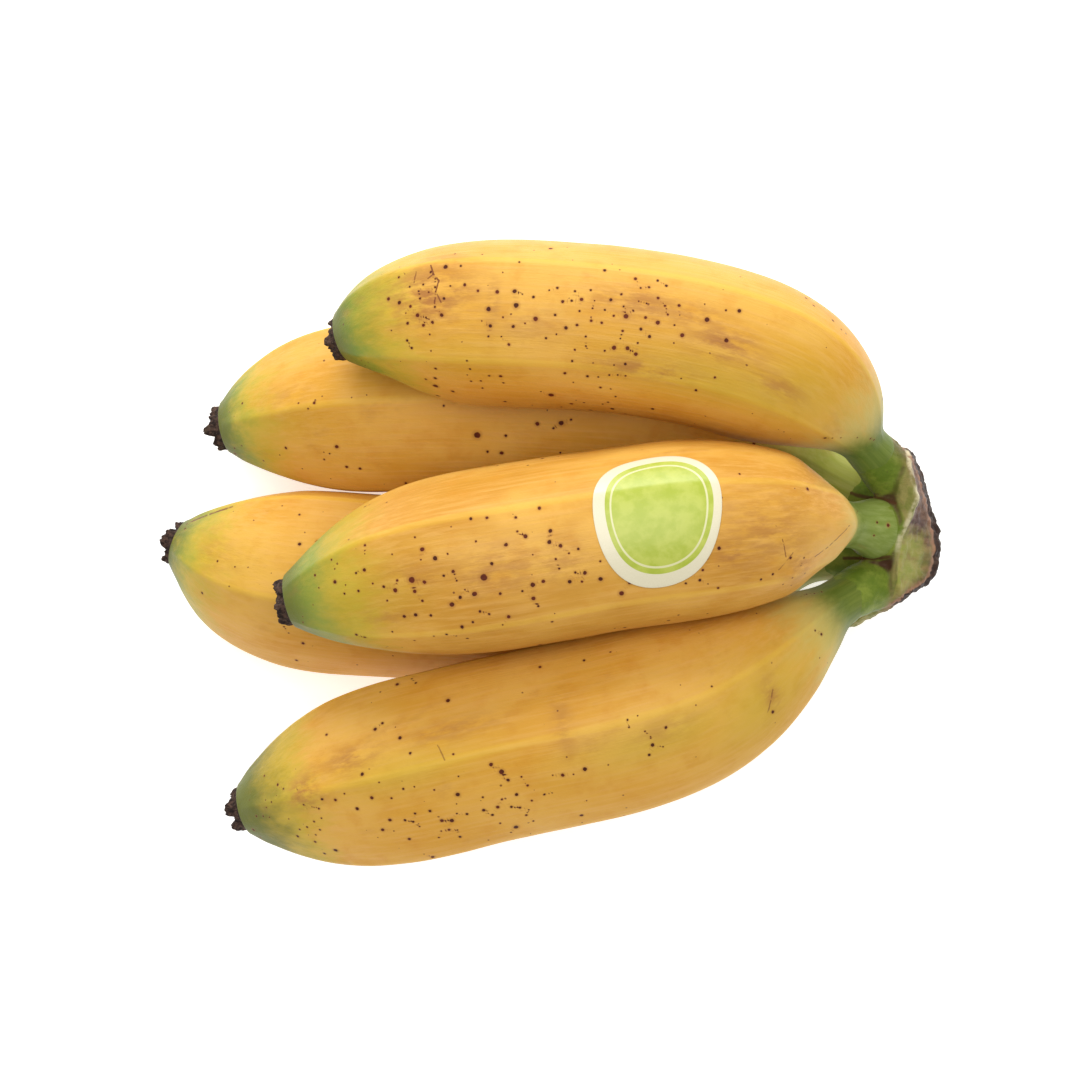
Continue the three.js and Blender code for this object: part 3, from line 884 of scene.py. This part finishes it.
def build_crown():
    """The cushion, with each stalk swelling and ending on it, all grown into one."""
    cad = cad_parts["crown"].data
    all_points = [lowered(points_of(cad) / MM) * MM]
    all_faces = [tuple(face.vertices) for face in cad.polygons]
    count = len(all_points[0])
    axes = []
    for finger in fingers:
        rows = int(np.searchsorted(finger.along, 15 * MM))
        root = finger.root[:rows:2]
        out = finger.surface[:rows:2, ::6] - finger.centres[:rows:2, None]
        scale = 1 + 0.10 * ease(root, 10, 3) - 0.05 * ease(root, 9, 14)
        tube = finger.centres[:rows:2, None] + out * scale[:, None, None]
        back = finger.centres[0] - finger.centres[3]
        back /= np.linalg.norm(back)
        knob = [tube[0].mean(0) + (tube[0] - tube[0].mean(0)) * math.cos(a) + back * 4.2 * MM * math.sin(a)
                for a in np.radians((85, 70, 52, 34, 16))]
        points, faces = closed_tube(np.concatenate([knob, tube]))
        all_points.append(points)
        all_faces += [tuple(i + count for i in face) for face in faces]
        count += len(points)
        axes.append((finger.centres[:rows] / MM, finger.radius[:rows] / MM))
    made = new_object("crown_rough", np.vstack(all_points), all_faces)
    made = remeshed(made, 0.5, 5, "crown_rough")
    at = points_of(made.data) / MM
    at[:, 2] = np.minimum(at[:, 2], cut_height(at))
    made.data.vertices.foreach_set("co", (at * MM).astype(np.float32).ravel())
    made.data.update()
    made = remeshed(made, 0.42, 1, "crown_cushion")

    mesh = made.data
    at, normals = points_of(mesh) / MM, normals_of(mesh)
    line = np.interp(at[:, 1], CUT_Y, CUT_X)
    cut = ease(at[:, 0] - line, 0, 0.5) * ease(normals[:, 2], -0.5, -0.2) * ease(at[:, 2], 16, 20)
    # Where the painted highlight along the crest lies: by the cut line, high up, towards +Y.
    crest_highlight = ease(np.abs(at[:, 0] - line + 0.3), 0.75, 0.15) * ease(at[:, 2], 25, 28) * ease(at[:, 1], -3, 4)
    stalk = np.zeros(len(at))
    for centres, radii in axes:
        gaps = np.linalg.norm(at[:, None] - centres[None, ::3], axis=2) - radii[None, ::3]
        stalk = np.maximum(stalk, ease(gaps.min(1), 1.5, 0.5))
    # Creases are where a point lies below the middle of its neighbours.
    pairs = np.empty(len(mesh.edges) * 2, np.int32)
    mesh.edges.foreach_get("vertices", pairs)
    pairs = pairs.reshape(-1, 2)
    # The crease depth sets where the crown's material paints shade.
    crease = crease_depth(at, normals, pairs)
    low = at.min(0)
    rows = np.round((at[:, 1] - low[1]) / 0.7).astype(int)
    furthest = np.full(rows.max() + 1, -1e9)
    np.maximum.at(furthest, rows, at[:, 0])
    right = furthest[rows] - at[:, 0]
    columns = np.round((at[:, 0] - low[0]) / 0.7).astype(int)
    lowest = np.full(columns.max() + 1, 1e9)
    np.minimum.at(lowest, columns, at[:, 1])
    below = at[:, 1] - lowest[columns]
    rim = np.maximum(ease(right, 3.2, 0.2) * ease(at[:, 0], 63, 67),
                     0.8 * ease(below, 2.4, 0.2) * ease(at[:, 0], 54, 58))
    rim *= ease(normals[:, 2], -0.6, -0.1)
    edge = CROWN_CREST - (furthest[rows] - line) * np.interp(at[:, 1], CUT_Y, CUT_FALL)
    upper = ease(at[:, 2] + 1.5 * value_noise(at, 2.2, 11), edge - 10, edge - 1.5)
    outer = ease(right + 0.9 * value_noise(at, 2.5, 12), 6.5, 0.8) * ease(at[:, 0], 60, 66)
    outer *= ease(at[:, 2] + 1.6 * value_noise(at, 3.0, 13), 8, 16)
    swell = 0.16 * value_noise(at, 3.5, 7) + 0.07 * value_noise(at, 1.2, 8)
    swell += cut * (0.16 * value_noise(at, 1.3, 5) + 0.12 * value_noise(at, 0.7, 6))
    swell += rim * (0.3 * value_noise(at, 1.1, 9) + 0.2 * value_noise(at, 0.6, 10))
    at += normals * swell[:, None]
    mesh.vertices.foreach_set("co", (at * MM).astype(np.float32).ravel())
    mesh.update()
    # The green of the stalks ends before the cut.
    stalk *= ease(line - at[:, 0], -0.3, 1.2)
    for name, values in (("cut", cut), ("stalk", stalk), ("crease", crease), ("rim", rim),
                         ("crest_highlight", crest_highlight), ("outer", outer), ("upper", upper)):
        add_values(made, name, values)
    return made


def crease_depth(at, normals, pairs):
    """How deep in a crease each point lies, from 0 to 1."""
    def spread_out(values):
        total = np.zeros_like(values)
        np.add.at(total, pairs[:, 0], values[pairs[:, 1]])
        np.add.at(total, pairs[:, 1], values[pairs[:, 0]])
        return total / count.reshape(-1, *[1] * (values.ndim - 1))

    count = np.bincount(pairs.ravel(), minlength=len(at)).astype(float)
    middle = spread_out(spread_out(at))
    hollow = ((middle - at) * normals).sum(1)
    for _ in range(3):
        hollow = spread_out(hollow)
    return ease(hollow, 0.012, 0.05)


dress(build_crown(), crown_material(), "crown_skin", "crown")


def build_label(finger):
    """A thin sheet with a pebble outline, which hugs the finger under it."""
    low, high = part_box("fruit_label")
    skin = finger.surface.reshape(-1, 3)
    middle = np.array(((low.x + high.x) / 2, (low.y + high.y) / 2, high.z))
    row, column = divmod(int(np.linalg.norm(skin - middle, axis=1).argmin()), FINE_ROUND)
    long_step = np.linalg.norm(finger.surface[row + 9, column] - finger.surface[row - 9, column])
    round_step = np.linalg.norm(finger.surface[row, (column + 3) % FINE_ROUND]
                                - finger.surface[row, column - 3])
    columns = 200
    angle = np.arange(columns) * 2 * math.pi / columns
    reach = 1 + 0.035 * np.cos(2 * (angle - 0.75)) + 0.03 * np.cos(3 * (angle - 0.6)) \
        + 0.022 * np.cos(4 * (angle - 0.78))
    long_way, round_way = 12.0 * reach * np.cos(angle), 12.9 * reach * np.sin(angle)

    def at(part, lift):
        i = row - part * long_way * MM / (long_step / 18)
        j = (column + part * round_way * MM / (round_step / 6)) % FINE_ROUND
        i0, j0 = np.floor(i).astype(int), np.floor(j).astype(int)
        fi, fj = (i - i0)[:, None], (j - j0)[:, None]
        j1 = (j0 + 1) % FINE_ROUND
        s = finger.smooth
        flat = (s[i0, j0] * (1 - fi) + s[i0 + 1, j0] * fi) * (1 - fj)
        flat += (s[i0, j1] * (1 - fi) + s[i0 + 1, j1] * fi) * fj
        away = flat - (finger.centres[i0] * (1 - fi) + finger.centres[i0 + 1] * fi)
        return flat + away / np.linalg.norm(away, axis=1, keepdims=True) * lift * MM

    parts = list(np.linspace(0.02, 0.985, 44)) + [0.995, 1.0]
    rings = [at(part, 0.27 if part < 0.99 else 0.25) for part in parts]
    rings += [at(1.0, 0.14), at(0.9, 0.14), at(0.5, 0.14), at(0.02, 0.14)]
    points, faces = closed_tube(np.array(rings))
    made = new_object("label_sheet", points, faces)
    # How far inside the printed ground each point is; the ground sits off the sheet's middle.
    across, up = np.concatenate([np.outer(parts, long_way), np.zeros((4, columns))]).ravel(), \
        np.concatenate([np.outer(parts, round_way), np.zeros((4, columns))]).ravel()
    across, up = across - 0.45, up - 0.35
    turn = np.arctan2(up / 12.9, across / 12.0)
    outline = np.interp(turn % (2 * math.pi), angle, reach, period=2 * math.pi)
    inside = 0.835 - np.hypot(across / 12.0, up / 12.9) / outline
    add_values(made, "inside", np.concatenate([inside, [0.8, 0.8]]))
    return made


dress(build_label(fingers[1]), label_material(), "label_film", "fruit_label")


# ---------------- floor, light and camera

floor = new_object("floor", [(-2, -2, 0), (2, -2, 0), (2, 2, 0), (-2, 2, 0)], [(0, 1, 2, 3)], False)
floor.data.materials.append(floor_material())


# Soft boxes: name, place, target, width, height and power, in metres and watts.
SOFT_BOXES = (
    ("key", (-0.08, 0.8, 0.34), (0, 0, 0.02), 0.7, 0.4, 5.8),
    ("top", (0.0, 0.15, 1.0), (0, 0, 0), 0.7, 0.7, 4.6),
)
WORLD_STRENGTH = 0.59


def soft_box(name, place, target, width, height, power):
    """A rectangular light at a place, turned towards the target."""
    light = bpy.data.lights.new(name, "AREA")
    light.shape, light.size, light.size_y, light.energy = "RECTANGLE", width, height, power
    made = bpy.data.objects.new(name, light)
    made.location = place
    made.rotation_mode = "QUATERNION"
    made.rotation_quaternion = (Vector(target) - Vector(place)).to_track_quat("-Z", "Y")
    bpy.context.scene.collection.objects.link(made)


for settings in SOFT_BOXES:
    soft_box(*settings)

world = bpy.data.worlds.new("studio")
world.use_nodes = True
background = world.node_tree.nodes["Background"]
background.inputs["Color"].default_value = (1, 1, 1, 1)
background.inputs["Strength"].default_value = WORLD_STRENGTH
scene = bpy.context.scene
scene.world = world
scene.view_settings.view_transform = "Standard"

camera_data = bpy.data.cameras.new("camera")
camera_data.sensor_width = SENSOR
camera_data.lens = SENSOR * CAMERA_ABOVE / VIEW_WIDTH
camera = bpy.data.objects.new("camera", camera_data)
camera.location = (*VIEW_CENTRE, MID_HEIGHT + CAMERA_ABOVE)
scene.collection.objects.link(camera)
scene.camera = camera
